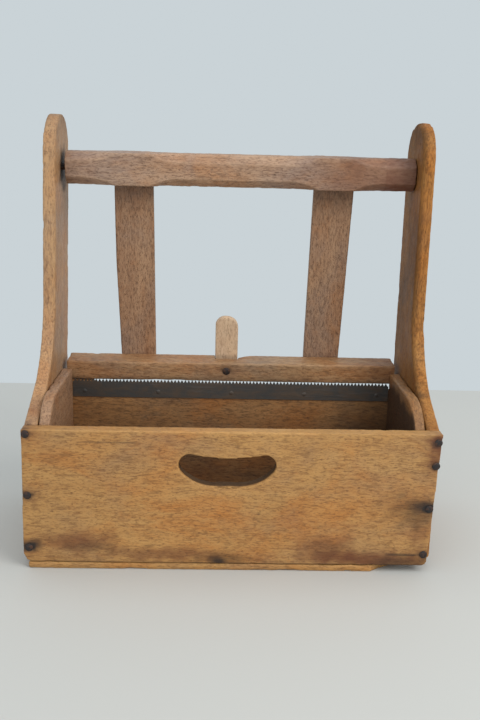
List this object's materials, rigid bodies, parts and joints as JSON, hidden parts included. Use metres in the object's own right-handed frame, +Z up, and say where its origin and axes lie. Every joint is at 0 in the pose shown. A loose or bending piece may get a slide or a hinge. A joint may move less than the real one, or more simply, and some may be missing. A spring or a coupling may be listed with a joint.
{
  "type": "corn planter",
  "caption": "Wooden seed box with a hand hole in front, tall side boards, a toothed steel strip on its back edge and a handle-and-bar gate swinging between the sides.",
  "frame": {"origin": "middle of the footprint at floor level", "axes": "+Z up, -Y towards the front board with the hand hole, +X to the right of a person facing that board"},
  "size_m": [0.4478, 0.2064, 0.4765],
  "materials": {
    "honey_oak": "worn",
    "box_wood": "worn",
    "upright_wood": "worn",
    "rail_wood": "worn",
    "bar_wood": "worn",
    "peg_wood": "worn",
    "saw_steel": "dull",
    "nail_iron": "rusty"
  },
  "bodies": {
    "box": {"front_board": "honey_oak", "bottom_board": "honey_oak", "rear_board": "box_wood", "left_inner_board": "box_wood", "right_inner_board": "box_wood", "left_upright": "upright_wood", "right_upright": "upright_wood", "saw_strip": "saw_steel", "front_nails_left": "nail_iron", "front_nails_right": "nail_iron", "left_side_nails": "nail_iron", "right_side_nails": "nail_iron", "bottom_nails_front": "nail_iron", "bottom_nails_rear": "nail_iron", "bottom_nails_sides": "nail_iron", "rear_nails": "nail_iron", "strip_nails": "nail_iron"},
    "gate": {"top_rail": "rail_wood", "left_pivot_pin": "nail_iron", "right_pivot_pin": "nail_iron", "left_slat": "rail_wood", "right_slat": "rail_wood", "gate_bar": "bar_wood", "lift_peg": "peg_wood", "left_slat_nails": "nail_iron", "right_slat_nails": "nail_iron", "peg_nail": "nail_iron"}
  },
  "joints": [
    {"name": "gate_swing", "type": "hinge", "parent": "box", "child": "gate", "pos_m": [0, 0.0566, 0.4184], "axis": [1, 0, 0], "range_deg": [0, 90]}
  ]
}
